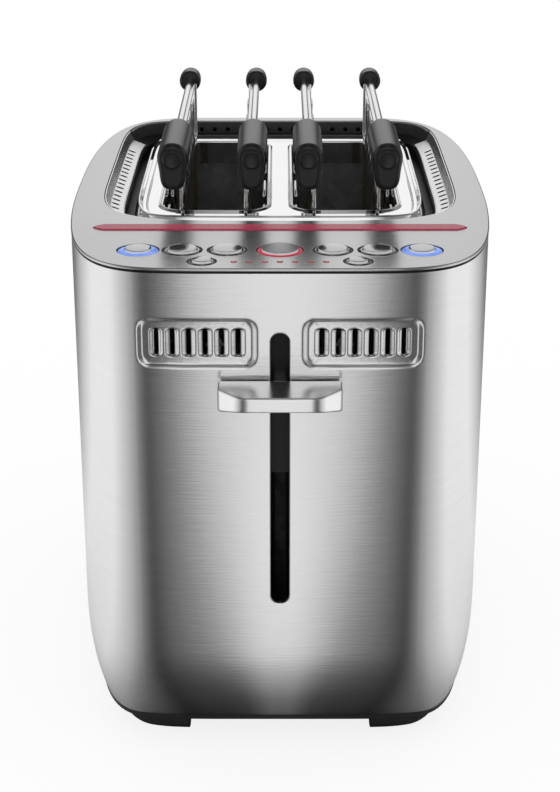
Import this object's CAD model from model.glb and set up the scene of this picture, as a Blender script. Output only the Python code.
# %% [markdown]
# # A long two-slot toaster with lift-out sandwich cages
# The object is a barrel-shaped steel housing with a sunken polished well on top. Two hinged wire
# cages stand in the well's slots. Each cage carries a black grip at the front and a knob at the back.
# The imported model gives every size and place, so each step below reads a box from it or repeats one
# named length. Lengths are written in millimetres and become metres when a mesh is made.

import math

import bmesh
import bpy
import numpy as np
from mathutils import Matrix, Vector
from mathutils.geometry import tessellate_polygon


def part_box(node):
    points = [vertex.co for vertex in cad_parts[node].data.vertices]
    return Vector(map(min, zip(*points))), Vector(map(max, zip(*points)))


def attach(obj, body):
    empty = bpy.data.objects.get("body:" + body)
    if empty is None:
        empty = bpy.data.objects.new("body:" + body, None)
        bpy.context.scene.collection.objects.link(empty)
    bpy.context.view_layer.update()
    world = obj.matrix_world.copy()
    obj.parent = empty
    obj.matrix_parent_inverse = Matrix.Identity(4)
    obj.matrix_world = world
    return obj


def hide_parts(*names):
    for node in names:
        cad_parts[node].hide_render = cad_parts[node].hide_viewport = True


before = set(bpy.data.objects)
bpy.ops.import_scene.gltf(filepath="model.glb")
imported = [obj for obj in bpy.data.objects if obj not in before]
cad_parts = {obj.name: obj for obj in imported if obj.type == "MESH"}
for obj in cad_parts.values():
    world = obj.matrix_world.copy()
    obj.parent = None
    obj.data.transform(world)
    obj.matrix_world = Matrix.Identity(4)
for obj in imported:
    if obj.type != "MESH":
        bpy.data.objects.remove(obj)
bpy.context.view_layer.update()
MM = 0.001


def box_mm(node):
    """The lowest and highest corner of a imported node, in millimetres."""
    low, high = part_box(node)
    return np.array(low) / MM, np.array(high) / MM


SHELL_LOW, SHELL_HIGH = box_mm("body_shell")
DECK_LOW, DECK_HIGH = box_mm("top_deck")
HALF_X = SHELL_HIGH[0]
HALF_Y = (SHELL_HIGH[1] - SHELL_LOW[1]) / 2
MID_Y = (SHELL_HIGH[1] + SHELL_LOW[1]) / 2
FRONT_Y = SHELL_LOW[1]
DECK = DECK_HIGH[2]
print("housing half size", round(HALF_X, 1), round(HALF_Y, 1), "deck height", round(DECK, 1))

# %% [markdown]
# ## Camera
# The photograph looks down at the control end from a little above the deck. Its place and lens were
# fitted to the photo from the outline of the housing: about 0.69 m in front of the front wall,
# 0.22 m above the deck, turned 21.6 degrees down. The long side of the picture is 792 pixels.

# %% Make the camera
PICTURE_LONG_SIDE = 792
FOCAL_PIXELS = 1768
CAMERA_BEFORE_MIDDLE = 822.3
CAMERA_ABOVE_DECK = 215.65
CAMERA_DOWN_DEGREES = 21.63
camera_data = bpy.data.cameras.new("photo_camera")
camera_data.sensor_fit = "AUTO"
camera_data.sensor_width = 36.0
camera_data.lens = camera_data.sensor_width * FOCAL_PIXELS / PICTURE_LONG_SIDE
camera_data.clip_end = 50.0
camera = bpy.data.objects.new("photo_camera", camera_data)
camera.location = (0, (MID_Y - CAMERA_BEFORE_MIDDLE) * MM, (DECK + CAMERA_ABOVE_DECK) * MM)
camera.rotation_euler = (math.radians(90 - CAMERA_DOWN_DEGREES), 0, 0)
bpy.context.scene.collection.objects.link(camera)
bpy.context.scene.camera = camera
print("lens", round(camera_data.lens, 2), "mm")

# %% [markdown]
# ## Shader maths as expressions
# A finish is easier to read as a formula than as a net of nodes. The class below holds one output of
# a material's tree. Adding or multiplying two of them adds the Math node that does it, and a plain
# number takes part on either side.


# %% One shader output with arithmetic
class Signal:
    """One output socket. Python's + - * / on it add Math nodes and give the result's Signal."""

    def __init__(self, finish, socket):
        self.finish = finish
        self.socket = socket

    def maths(self, operation, *others):
        node = self.finish.tree.nodes.new("ShaderNodeMath")
        node.operation = operation
        for plug, item in zip(node.inputs, others):
            self.finish.feed(plug, item)
        return Signal(self.finish, node.outputs[0])

    def operator(name):
        """The same sum with the Signal on the left and with the Signal on the right."""
        return lambda a, b: a.maths(name, a, b), lambda a, b: a.maths(name, b, a)

    __add__, __radd__ = operator("ADD")
    __sub__, __rsub__ = operator("SUBTRACT")
    __mul__, __rmul__ = operator("MULTIPLY")
    __truediv__, __rtruediv__ = operator("DIVIDE")

    def size(self):
        return self.maths("ABSOLUTE", self)

    def off(self, ahead):
        """The angle from straight ahead to a point this far aside, as a share of a right angle."""
        return self.maths("ARCTAN2", self, ahead) * (2 / math.pi)


class Finish:
    """A material with one Principled shader. put() sets its sockets, node() adds any other node."""

    def __init__(self, name, tree=None):
        """Makes a new material, or works on a tree that is handed in, such as the world's."""
        if tree is None:
            self.material = bpy.data.materials.new(name)
            self.material.use_nodes = True
            tree = self.material.node_tree
        self.tree = tree
        self.shader = tree.nodes.get("Principled BSDF")

    def feed(self, plug, item):
        """Links a Signal to a socket, or writes a plain number, colour or vector on it."""
        if isinstance(item, Signal):
            self.tree.links.new(item.socket, plug)
        else:
            plug.default_value = item

    def node(self, kind, settings=None, output=0, **sockets):
        """Adds one node: its settings first, then its sockets, and gives one output as a Signal."""
        made = self.tree.nodes.new(kind)
        for key, value in (settings or {}).items():
            if key == "stops":
                ramp = made.color_ramp.elements
                ramp[0].position, ramp[0].color = value[0]
                ramp[1].position, ramp[1].color = value[-1]
                for place, colour in value[1:-1]:
                    ramp.new(place).color = colour
            else:
                setattr(made, key, value)
        for key, value in sockets.items():
            self.feed(made.inputs[key.replace("_", " ")], value)
        return Signal(self, made.outputs[output])

    def put(self, **sockets):
        for key, value in sockets.items():
            self.feed(self.shader.inputs[key.replace("_", " ")], value)

    def position(self):
        """Object coordinates, in metres."""
        return self.node("ShaderNodeTexCoord", output=3)

    def below(self, height):
        """1 where the surface lies below a height in millimetres, and 0 above it."""
        z = self.axes(self.position())[2]
        return z.maths("LESS_THAN", z, height * MM)

    def place(self, grains):
        """The position, stretched so that a pattern on it has so many grains per metre."""
        scale = tuple(float(value) for value in np.broadcast_to(grains, 3))
        return self.node("ShaderNodeMapping", {"vector_type": "POINT"}, Vector=self.position(), Scale=scale)

    def noise(self, grains, detail=2.0, roughness=0.5):
        """Soft noise from 0 to 1; grains per metre is one number, or one each along X, Y and Z."""
        return self.node(
            "ShaderNodeTexNoise", {"noise_dimensions": "3D"},
            Vector=self.place(grains), Scale=1.0, Detail=detail, Roughness=roughness,
        )

    def ramp(self, value, *stops):
        return self.node("ShaderNodeValToRGB", {"stops": stops}, Fac=value)

    def greys(self, value, *stops):
        """A ramp of greys: each stop is (place, level)."""
        return self.ramp(value, *[(place, grey(level)) for place, level in stops])

    def axes(self, vector):
        """The three numbers of a vector as three Signals."""
        parts = self.tree.nodes.new("ShaderNodeSeparateXYZ")
        self.feed(parts.inputs[0], vector)
        return [Signal(self, plug) for plug in parts.outputs]

    def mixed(self, factor, first, second, blend="MIX"):
        """A Mix node on two colours."""
        made = self.tree.nodes.new("ShaderNodeMix")
        made.data_type, made.blend_type = "RGBA", blend
        for index, item in ((0, factor), (6, first), (7, second)):
            self.feed(made.inputs[index], item)
        return Signal(self, made.outputs[2])

    def bump(self, height, strength, distance):
        return self.node("ShaderNodeBump", Height=height, Strength=strength, Distance=distance)


def grey(level):
    return (level, level, level, 1.0)


def tinted(colour, share=1.0):
    """An opaque colour, darkened to a share of itself."""
    return tuple(channel * share for channel in colour) + (1,)


print("shader helpers ready")

# %% [markdown]
# ## Brushed steel
# The housing and deck are stainless steel brushed from side to side. Each scratch is a long groove a
# few tenths of a millimetre wide, so a reflection stays sharp along the scratches and smears across
# them. Noise stretched 22 to 37 times along the surface gives the grooves. A bump map turns them
# into slopes, and a little of the same noise varies the roughness and the tone.


# %% Brushed finishes
COARSE_SHARE = 0.22
CUT_EDGE, CUT_EDGE_TONE = DECK - 0.3, 0.60
GROOVE_DEPTH = 0.00025


def brushed_finish(name, grain, tone, base_roughness, slope, edge_height=None):
    """Fine grooves plus a few coarser ones, both stretched as grain says (grains per metre).
    Below edge_height, in millimetres, the metal is a plate's cut edge, which is a little brighter."""
    finish = Finish(name)
    fine = finish.noise(grain, detail=1.0)
    coarse = finish.noise([value * COARSE_SHARE for value in grain])
    blotch = finish.noise(14, detail=1.0)
    mix = fine * 0.7 + coarse * 0.3
    colour = finish.ramp(
        mix * 0.75 + blotch * 0.25,
        (0.30, (tone * 0.90, tone * 0.90, tone * 0.905, 1)), (0.70, (tone, tone, tone * 1.004, 1)),
    )
    if edge_height:
        colour = finish.mixed(finish.below(edge_height), colour, grey(CUT_EDGE_TONE))
    finish.put(
        Base_Color=colour, Metallic=1.0, Roughness=base_roughness + mix * 0.08,
        Normal=finish.bump(mix, slope, GROOVE_DEPTH),
    )
    return finish.material


steel_wall = brushed_finish("steel_brushed_wall", (70, 70, 2600), 0.85, 0.16, 0.30)
steel_deck = brushed_finish("steel_brushed_deck", (70, 2600, 70), 0.54, 0.21, 0.14, CUT_EDGE)
steel_lever = brushed_finish("steel_brushed_lever", (120, 2600, 2600), 0.95, 0.20, 0.12)
steel_well = brushed_finish("steel_brushed_well", (2600, 90, 2600), 0.85, 0.22, 0.06)
print("brushed finishes", steel_wall.name, steel_deck.name, steel_lever.name, steel_well.name)

# %% [markdown]
# ## Polished and plain metals
# The well and the slot insert are polished until they mirror the room; a very faint wide waviness
# keeps the mirror from looking like glass. The wires are plated, and the parts inside are plain
# zinc-plated sheet with a cloudy spangle.


# %% Polished and plain metal finishes
def polished_finish(name, tone, roughness, wave):
    """A mirror with a faint wide waviness and a light haze that varies from place to place."""
    finish = Finish(name)
    swell = finish.noise(60, detail=1.0)
    haze = finish.noise(400, detail=3.0)
    colour = finish.ramp(haze, (0.2, (tone * 0.96, tone * 0.965, tone * 0.97, 1)), (0.8, grey(tone)))
    finish.put(
        Base_Color=colour, Metallic=1.0, Roughness=roughness + haze * 0.03,
        Normal=finish.bump(swell, wave, 0.0004),
    )
    return finish.material


def zinc_finish():
    """Zinc-plated sheet: patches of spangle a few millimetres wide in two greys."""
    finish = Finish("zinc_plate")
    spangle = finish.node(
        "ShaderNodeTexVoronoi", {"feature": "F1"}, output=1, Vector=finish.place(260), Scale=1.0
    )
    patch = finish.node("ShaderNodeRGBToBW", Color=spangle)
    colour = finish.ramp(patch, (0.0, (0.40, 0.41, 0.42, 1)), (1.0, (0.56, 0.57, 0.58, 1)))
    finish.put(Base_Color=colour, Metallic=1.0, Roughness=0.32 + patch * 0.16)
    return finish.material


polished = polished_finish("polished_steel", 0.93, 0.03, 0.04)
wire_chrome = polished_finish("wire_chrome", 0.80, 0.10, 0.10)
zinc = zinc_finish()
print("metal finishes", polished.name, wire_chrome.name, zinc.name)

# %% [markdown]
# ## Plastics, rubber, mica and lights
# The grips and knobs are black plastic with a fine sparked texture. The feet are rubber. The bar and
# the lit rings are tinted plastic over lamps, so they give a weak light of their own colour. The
# heater boards are mica, in browns with darker flakes. A button's cap is satin metal on top and pale
# plastic on its side.


# %% Plastic, rubber and mica finishes
def matte_finish(name, colour, roughness, texture, strength, shine=0.5):
    """Moulded plastic or rubber with a fine sparked texture and a slightly worn tone."""
    finish = Finish(name)
    grain = finish.noise(texture)
    wear = finish.noise(40)
    shade = finish.ramp(wear, (0.3, tinted(colour, 0.75)), (0.7, tinted(colour)))
    finish.put(
        Base_Color=shade, Roughness=roughness + grain * 0.12, Specular_IOR_Level=shine,
        Normal=finish.bump(grain, strength, 0.0003),
    )
    return finish.material


def mica_finish():
    """Mica board: clouds in three browns with small dark flakes."""
    finish = Finish("mica_board")
    cloud = finish.noise(60, detail=4.0, roughness=0.6)
    flake = finish.noise(900)
    colour = finish.ramp(
        cloud * 0.7 + flake * 0.3,
        (0.3, (0.06, 0.045, 0.03, 1)), (0.5, (0.12, 0.095, 0.06, 1)), (0.7, (0.20, 0.17, 0.12, 1)),
    )
    finish.put(Base_Color=colour, Roughness=0.45 + flake * 0.2)
    return finish.material


def lit_finish(name, colour, glow, power, roughness=0.12, shine=0.5):
    """Tinted plastic over a lamp: a soft cloud in the tint and a light of its own."""
    finish = Finish(name)
    cloud = finish.noise(300)
    finish.put(
        Base_Color=finish.ramp(cloud, (0.3, tinted(colour, 0.8)), (0.7, tinted(colour))),
        Emission_Color=finish.ramp(cloud, (0.2, tinted(glow, 0.85)), (0.8, tinted(glow))),
        Emission_Strength=power, Roughness=roughness, Specular_IOR_Level=shine,
    )
    return finish.material


grip_plastic = matte_finish("grip_plastic", (0.012, 0.012, 0.013), 0.22, 2600, 0.05, 0.40)
base_plastic = matte_finish("base_plastic", (0.016, 0.016, 0.017), 0.45, 1800, 0.10)
channel_paint = matte_finish("channel_paint", (0.006, 0.006, 0.006), 0.40, 1800, 0.05)
strip_plastic = matte_finish("strip_plastic", (0.030, 0.031, 0.032), 0.38, 1800, 0.08)
foot_rubber = matte_finish("foot_rubber", (0.014, 0.014, 0.014), 0.62, 1500, 0.15)
board_green = matte_finish("board_green", (0.012, 0.09, 0.045), 0.38, 900, 0.10)
mica = mica_finish()
crimson = lit_finish("crimson_bar", (0.28, 0.035, 0.065), (0.42, 0.05, 0.09), 0.20, 0.25, 0.18)
ring_blue = lit_finish("ring_blue", (0.16, 0.26, 0.62), (0.14, 0.27, 0.85), 0.42)
ring_red = lit_finish("ring_red", (0.40, 0.035, 0.07), (0.55, 0.04, 0.08), 0.25)
led_red = lit_finish("led_red", (0.34, 0.05, 0.06), (0.45, 0.05, 0.07), 0.25)
print("plastic and light finishes", grip_plastic.name, board_green.name, mica.name, crimson.name)


# %% Button finishes
CAP_SIDE_TOP, CAP_SIDE_TONE = DECK + 0.85, 0.90


def cap_finish(name, tone, roughness):
    """Satin cap with a fine grain. Its side, which stands above the ring, is pale plastic."""
    finish = Finish(name)
    grain = finish.noise(1500, detail=1.0)
    at_side = finish.below(CAP_SIDE_TOP)
    colour = finish.greys(grain, (0.3, tone * 0.9), (0.7, tone))
    finish.put(
        Base_Color=finish.mixed(at_side, colour, grey(CAP_SIDE_TONE)), Metallic=at_side * -1 + 1,
        Roughness=roughness + grain * 0.05,
    )
    return finish.material


cap_silver = cap_finish("cap_silver", 0.50, 0.12)
cap_dark = cap_finish("cap_dark", 0.30, 0.30)
ring_clear = polished_finish("ring_clear", 0.42, 0.08, 0.02)
print("button finishes", cap_silver.name, cap_dark.name, ring_clear.name)

# %% [markdown]
# ## Outlines
# Nearly every edge of this object is a closed outline in plan: the housing and the well are
# superellipses, the slots are rounded rectangles. An outline here is two arrays, points and outward
# normals, so a profile can be carried along it at any distance from it.


# %% Outlines as points and normals
def unit(vectors):
    return vectors / np.linalg.norm(vectors, axis=-1, keepdims=True)


def quarter_ellipse(half_x, half_y, power_x, power_y, steps, corner=0.86, crowding=0.9):
    """A quarter of |x/a|^p + |y/b|^q = 1. Steps along x up to the corner's share of a, then along y,
    a little closer together near the corner."""
    turn = corner * half_x
    x_run = np.linspace(0, turn, steps, endpoint=False)
    y_run = half_y * (1 - (x_run / half_x) ** power_x) ** (1 / power_y)
    y_turn = half_y * (1 - (turn / half_x) ** power_x) ** (1 / power_y)
    y_side = y_turn * (1 - np.linspace(0, 1, steps, endpoint=False) ** crowding)
    x_side = half_x * (1 - (y_side / half_y) ** power_y) ** (1 / power_x)
    x = np.concatenate([x_run, x_side])
    y = np.concatenate([y_run, y_side])
    nx = power_x / half_x * (x / half_x) ** (power_x - 1)
    ny = power_y / half_y * (y / half_y) ** (power_y - 1)
    return np.stack([x, -y], 1), np.stack([nx, -ny], 1)


def superellipse(half_x, half_y, power_x, power_y, middle_y, steps, rear_powers=None):
    """Four quarters of |x/a|^p + |y/b|^q = 1; the rear two may have powers of their own."""
    front = quarter_ellipse(half_x, half_y, power_x, power_y, steps)
    rear = quarter_ellipse(half_x, half_y, *rear_powers, steps) if rear_powers else front
    edge = np.array([[half_x, 0.0]]), np.array([[1.0, 0.0]])
    points, normals = [], []
    for flip_x, flip_y, back in ((1, 1, False), (1, -1, True), (-1, -1, False), (-1, 1, True)):
        quarter = front if flip_y > 0 else rear
        for store, values, end in ((points, quarter[0], edge[0]), (normals, quarter[1], edge[1])):
            part = np.concatenate([values, end]) * (flip_x, flip_y)
            store.append((part[::-1] if back else part)[:-1])
    points = np.concatenate(points) + (0, middle_y)
    return points, unit(np.concatenate(normals))


def rounded_rectangle(x0, y0, x1, y1, radius, arc_steps=10, side_steps=6):
    """Four quarter circles joined by straight sides, counter-clockwise from the lower right."""
    corners = [(x1 - radius, y0 + radius, -90), (x1 - radius, y1 - radius, 0),
               (x0 + radius, y1 - radius, 90), (x0 + radius, y0 + radius, 180)]
    points, normals = [], []
    for index, (cx, cy, start) in enumerate(corners):
        angle = np.radians(start + np.linspace(0, 90, arc_steps + 1))
        ray = np.stack([np.cos(angle), np.sin(angle)], 1)
        points.append((cx, cy) + radius * ray)
        normals.append(ray)
        nx, ny, first = corners[(index + 1) % 4]
        next_ray = np.array([math.cos(math.radians(first)), math.sin(math.radians(first))])
        share = np.linspace(0, 1, side_steps + 1)[1:-1, None]
        points.append(points[-1][-1] * (1 - share) + ((nx, ny) + radius * next_ray) * share)
        normals.append(np.repeat(ray[-1:], len(share), 0))
    return np.concatenate(points), np.concatenate(normals)


def circle(x, y, radius, steps=40):
    angle = np.linspace(0, 2 * np.pi, steps, endpoint=False)
    ray = np.stack([np.cos(angle), np.sin(angle)], 1)
    return (x, y) + radius * ray, ray


def grown(outline, distance):
    """The points of an outline, moved outwards."""
    return outline[0] + outline[1] * distance


def curve(a, b, c, steps):
    """The quadratic curve (1-t)^2 a + 2t(1-t) b + t^2 c, or one such curve for each row of a, b and c."""
    t = np.linspace(0, 1, steps + 1)[:, None]
    a, b, c = [np.asarray(point, float)[..., None, :] for point in (a, b, c)]
    return (1 - t) ** 2 * a + 2 * t * (1 - t) * b + t**2 * c


def lengths(points):
    """How far along a line of points each of them lies."""
    return np.concatenate([[0], np.cumsum(np.linalg.norm(np.diff(points, axis=0), axis=1))])


def housing(steps, middle_y=MID_Y):
    """The housing's outline: flat sides, and ends that bulge."""
    return superellipse(HALF_X, HALF_Y, 6.87, 2.49, middle_y, steps)


FIT = 0.3
WELL_FRONT_REACH = 4.0
WELL_HALF_X = 82.0
strip_low, strip_high = box_mm("rear_vent_strip")
WELL_Y0 = box_mm("well_surround")[0][1] - FIT - WELL_FRONT_REACH
WELL_Y1 = strip_high[1] + FIT
WELL_MID_Y, WELL_HALF_Y = (WELL_Y0 + WELL_Y1) / 2, (WELL_Y1 - WELL_Y0) / 2


def well_outline(steps):
    """The well's outline, squarer at the rear than at the front."""
    return superellipse(WELL_HALF_X, WELL_HALF_Y, 4.0, 6.0, WELL_MID_Y, steps, rear_powers=(9.0, 6.0))


plan, well = housing(44), well_outline(36)
print("plan points", len(plan[0]), "well half size", round(WELL_HALF_X, 1), round(WELL_HALF_Y, 1))

# %% [markdown]
# ## Meshes from arrays
# A piece is a list of parts, each a grid of points and the faces between them. Parts are joined,
# doubles on their seams are merged, and faces are turned outwards. Edges sharper than an angle stay
# crisp, 32 degrees unless the piece says otherwise. Area-weighted normals keep wide flat faces flat
# beside their small rounded edges.


# %% Grids, sweeps and caps
def grid_faces(rows, columns, close_rows=False, close_columns=False):
    """Quads between neighbours of a rows x columns grid, wrapped where asked."""
    r = np.arange(rows if close_rows else rows - 1)
    c = np.arange(columns if close_columns else columns - 1)
    r, c = np.meshgrid(r, c, indexing="ij")
    r1, c1 = (r + 1) % rows, (c + 1) % columns
    quads = np.stack([r * columns + c, r * columns + c1, r1 * columns + c1, r1 * columns + c], -1)
    return quads.reshape(-1, 4)


def sheet(points, close_rows=False, close_columns=False):
    """A part from points[row, column, xyz]."""
    rows, columns = points.shape[:2]
    return points.reshape(-1, 3), grid_faces(rows, columns, close_rows, close_columns)


def sweep(outline, profile, close_profile=False):
    """Carries a profile of (distance outwards, height) round an outline in plan."""
    profile = np.asarray(profile, float)
    flat = outline[0][None] + outline[1][None] * profile[:, 0, None, None]
    height = np.broadcast_to(profile[:, 1, None, None], flat.shape[:2] + (1,))
    return sheet(np.concatenate([flat, height], 2), close_profile, True)


def cap(loops, height):
    """A flat face bounded by the first loop, with the other loops as holes."""
    spatial = [np.concatenate([loop, np.full((len(loop), 1), height)], 1) for loop in loops]
    triangles = tessellate_polygon([[Vector(p) for p in loop.tolist()] for loop in spatial])
    return np.concatenate(spatial), np.array(triangles)


def arc(centre, radius, start, stop, steps):
    """Points of a circular arc as (x, y) pairs, angles in degrees."""
    angle = np.radians(np.linspace(start, stop, steps + 1))
    return np.stack([centre[0] + radius * np.cos(angle), centre[1] + radius * np.sin(angle)], 1)


def slab(outline, low, high, radius, steps=4):
    """A closed plate between two heights whose top and bottom edges are rounded."""
    bottom = arc((-radius, low + radius), radius, -90, 0, steps)
    top = arc((-radius, high - radius), radius, 0, 90, steps)
    inner = grown(outline, -radius)
    return [sweep(outline, np.concatenate([bottom, top])), cap([inner], low), cap([inner], high)]


def turned(profile, centre, axis="Z", steps=32):
    """Turns (radius, distance along the axis) pairs about an upright axis through centre, or about
    one along Y."""
    profile = np.asarray(profile, float)
    angle = np.linspace(0, 2 * np.pi, steps, endpoint=False)
    radius, along = profile[:, 0, None], profile[:, 1, None]
    across = radius * np.cos(angle), radius * np.sin(angle)
    along = np.broadcast_to(along, across[0].shape)
    order = {"Z": (*across, along), "Y": (across[0], along, across[1])}[axis]
    return sheet(np.stack(order, -1) + np.asarray(centre, float), False, True)


def tube(points):
    """A tube from points[row, column, xyz], closed by one flat face at each end."""
    part = sheet(points, False, True)
    count, sides = len(part[0]), points.shape[1]
    ends = np.array([np.arange(sides), np.arange(count - sides, count)])
    return [part, (part[0], ends)]


# %% Wires
def bent(corners, radius, steps=5):
    """A path through corners, each rounded by a quadratic curve that starts radius before it."""
    corners = np.asarray(corners, float)
    middle = corners[1:-1]
    before = middle + unit(corners[:-2] - middle) * radius
    after = middle + unit(corners[2:] - middle) * radius
    bends = curve(before, middle, after, steps)
    return np.concatenate([corners[:1], bends.reshape(-1, 3), corners[-1:]])


def wire(path, diameter, side=(1, 0, 0), sides=10, end_round=True):
    """A round section carried along a path; side is any direction that the path never follows.
    A rounded end is two more rings, at 0.14 and 0.22 of the diameter past the path's end."""
    path = np.asarray(path, float)
    if end_round:
        first = unit(path[:1] - path[1:2])
        last = unit(path[-1:] - path[-2:-1])
        shrink = np.array([0.55, 0.9] + [1.0] * len(path) + [0.9, 0.55]) * diameter / 2
        lead, tail = diameter * 0.22, diameter * 0.14
        path = np.concatenate([path[:1] + first * lead, path[:1] + first * tail, path,
                               path[-1:] + last * tail, path[-1:] + last * lead])
    else:
        shrink = np.full(len(path), diameter / 2)
    ahead = unit(np.gradient(path, axis=0))
    across = unit(np.cross(ahead, np.asarray(side, float)))
    up = np.cross(ahead, across)
    angle = np.linspace(0, 2 * np.pi, sides, endpoint=False)
    ring = across[:, None] * np.cos(angle)[None, :, None] + up[:, None] * np.sin(angle)[None, :, None]
    return tube(path[:, None] + ring * shrink[:, None, None])


# %% From parts to a piece
def joined(parts):
    """All points of nested parts as one array in metres, and their faces as lists of indices."""
    flat = []
    for part in parts:
        flat.extend(part if isinstance(part, list) else [part])
    points = np.concatenate([np.asarray(part[0], float) for part in flat]) * MM
    starts = np.cumsum([0] + [len(part[0]) for part in flat[:-1]])
    faces = [face for start, part in zip(starts, flat) for face in (part[1] + start).tolist()]
    return points, faces


def keep_rims_sharp(mesh):
    """Marks each edge that has one face only, so the wall's cut edge isn't shaded as if it were round."""
    edge_of_corner = np.empty(len(mesh.loops), int)
    mesh.loops.foreach_get("edge_index", edge_of_corner)
    alone = np.bincount(edge_of_corner, minlength=len(mesh.edges)) == 1
    sharp = mesh.attributes.get("sharp_edge") or mesh.attributes.new("sharp_edge", "BOOLEAN", "EDGE")
    marks = np.empty(len(mesh.edges), bool)
    sharp.data.foreach_get("value", marks)
    sharp.data.foreach_set("value", marks | alone)


def piece(name, parts, material, body, nodes=(), crisp=32, wall=0.0, facing=None):
    """Joins parts into one object in metres, gives it its finish and hangs it on its body.
    An open sheet says which way it faces: "out" from its own middle, or "up"."""
    points, faces = joined(parts)
    mesh = bpy.data.meshes.new(name)
    mesh.from_pydata(points.tolist(), [], faces)
    build = bmesh.new()
    build.from_mesh(mesh)
    bmesh.ops.remove_doubles(build, verts=build.verts, dist=3e-6)
    bmesh.ops.dissolve_degenerate(build, edges=build.edges, dist=1e-7)
    bmesh.ops.recalc_face_normals(build, faces=build.faces)
    if facing:
        normals = np.array([face.normal for face in build.faces])
        areas = np.array([face.calc_area() for face in build.faces])
        centres = np.array([face.calc_center_median() for face in build.faces])
        rays = centres - centres.mean(0) if facing == "out" else np.array([[0, 0, 1.0]])
        if ((normals * rays).sum(1) * areas).sum() < 0:
            bmesh.ops.reverse_faces(build, faces=build.faces)
    build.to_mesh(mesh)
    build.free()
    mesh.polygons.foreach_set("use_smooth", np.ones(len(mesh.polygons), bool))
    mesh.set_sharp_from_angle(angle=math.radians(crisp))
    if wall:
        keep_rims_sharp(mesh)
    mesh.materials.append(material)
    made = bpy.data.objects.new(name, mesh)
    bpy.context.scene.collection.objects.link(made)
    if wall:
        solid = made.modifiers.new("wall", "SOLIDIFY")
        solid.thickness, solid.offset = wall * MM, -1.0
    made.modifiers.new("flat_faces", "WEIGHTED_NORMAL").keep_sharp = True
    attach(made, body)
    if nodes:
        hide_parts(*nodes)
    print(name, len(mesh.polygons), "faces")
    return made


print("mesh helpers ready")

# %% [markdown]
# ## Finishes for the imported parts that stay
# The parts inside the housing, seen through the slots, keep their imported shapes. Each gets the
# finish of its material: zinc-plated sheet, mica, rubber, black plastic or the green board. The parts
# that a piece below replaces get that piece's finish.

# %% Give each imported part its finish
NODE_FINISHES = {
    "zinc_plate": ["chassis_front", "chassis_rear", "rack_left", "rack_right", "guide_rod",
                   "latch_magnet", "crumb_tray", "cage_left_hinge_pin", "cage_right_hinge_pin"],
    "mica_board": ["heater_left", "heater_center", "heater_right"],
    "base_plastic": ["carriage", "base_pan"],
    "foot_rubber": ["foot_front_left", "foot_front_right", "foot_rear_left", "foot_rear_right", "cord_gland"],
    "board_green": ["control_board"],
    "wire_chrome": ["guard_left_outer", "guard_left_inner", "guard_right_inner", "guard_right_outer"],
    "steel_brushed_lever": ["lever_paddle", "lever_slot_trim"],
    "steel_brushed_wall": ["body_shell"],
    "steel_brushed_deck": ["top_deck"],
    "polished_steel": ["well_surround", "slot_insert"],
    "strip_plastic": ["rear_vent_strip"],
    "crimson_bar": ["light_bar"],
    "ring_blue": ["light_ring_outer_left", "light_ring_outer_right"],
    "ring_red": ["light_ring_start"],
    "led_red": ["level_lights"],
    "ring_clear": ["button_housing"],
    "cap_dark": ["button_start"],
}
finish_of = {node: material for material, nodes in NODE_FINISHES.items() for node in nodes}
for node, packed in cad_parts.items():
    if node in finish_of:
        chosen = bpy.data.materials[finish_of[node]]
    elif node.startswith("button_"):
        chosen = cap_silver
    elif "_frame_" in node:
        chosen = wire_chrome
    else:
        chosen = grip_plastic
    packed.data.materials.clear()
    packed.data.materials.append(chosen)
print("packed parts finished:", len(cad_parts))

# %% [markdown]
# ## Floor
# Polished steel shows its surroundings more than itself, so the floor is half of the metal's look.
# The camera sees a plain white floor that keeps the toaster's shadow. Mirror rays see the same floor
# with dark card lying on it, as a photographer lays black card beside a shiny object: a bright lane
# runs out from the middle of the wall, fades, ends at a dark edge 25 degrees off, and the floor beyond
# is bright again. The pattern is a function of the angle seen from a pole behind the wall, and the
# floor darkens over the last 120 mm before the toaster. Both ends of the toaster get the same card.

# %% Make the floor
FLOOR_SIZE = 12000
POLE_FROM_MIDDLE = 36.0
SHADOW_SHARE = 0.15
NEAR_WIDTH, LANE_HALF_WIDTH = 0.12, 25.0
CARD_LEAST = 0.035
floor_finish = Finish("pale_floor")
tree = floor_finish.tree
light_path = tree.nodes.new("ShaderNodeLightPath")
seen_by_mirror = Signal(floor_finish, light_path.outputs["Is Glossy Ray"])
seen_by_camera = Signal(floor_finish, light_path.outputs["Is Camera Ray"])
spot = floor_finish.axes(floor_finish.position())
aside = spot[0].size()
ahead = (spot[1] - MID_Y * MM).size()
lane = floor_finish.greys(
    aside.off(ahead - POLE_FROM_MIDDLE * MM),
    (0.0, 1.0), (0.03, 1.0), (0.065, 0.60), (0.10, 0.28), (0.16, 0.155), (0.24, 0.06), (0.275, 0.015),
    (0.30, 0.03), (0.36, 0.17), (0.50, 0.52), (0.80, 0.95), (1.0, 0.95),
)
clear_of_wall = aside.maths("MAXIMUM", aside - LANE_HALF_WIDTH * MM, ahead - HALF_Y * MM) / NEAR_WIDTH
near = floor_finish.greys(
    clear_of_wall, (0.0, 0.24), (0.15, 0.40), (0.40, 0.60), (0.75, 0.92), (1.0, 1.0)
)
card = floor_finish.mixed(1.0, floor_finish.mixed(1.0, lane, near, "MULTIPLY"), grey(CARD_LEAST), "ADD")
floor_finish.put(
    Base_Color=floor_finish.mixed(seen_by_mirror, grey(1.0), card), Roughness=0.9, Specular_IOR_Level=0.0
)
glow = tree.nodes.new("ShaderNodeEmission")
blend = tree.nodes.new("ShaderNodeMixShader")
floor_finish.feed(blend.inputs[0], seen_by_camera * (1 - SHADOW_SHARE))
tree.links.new(floor_finish.shader.outputs[0], blend.inputs[1])
tree.links.new(glow.outputs[0], blend.inputs[2])
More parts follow.
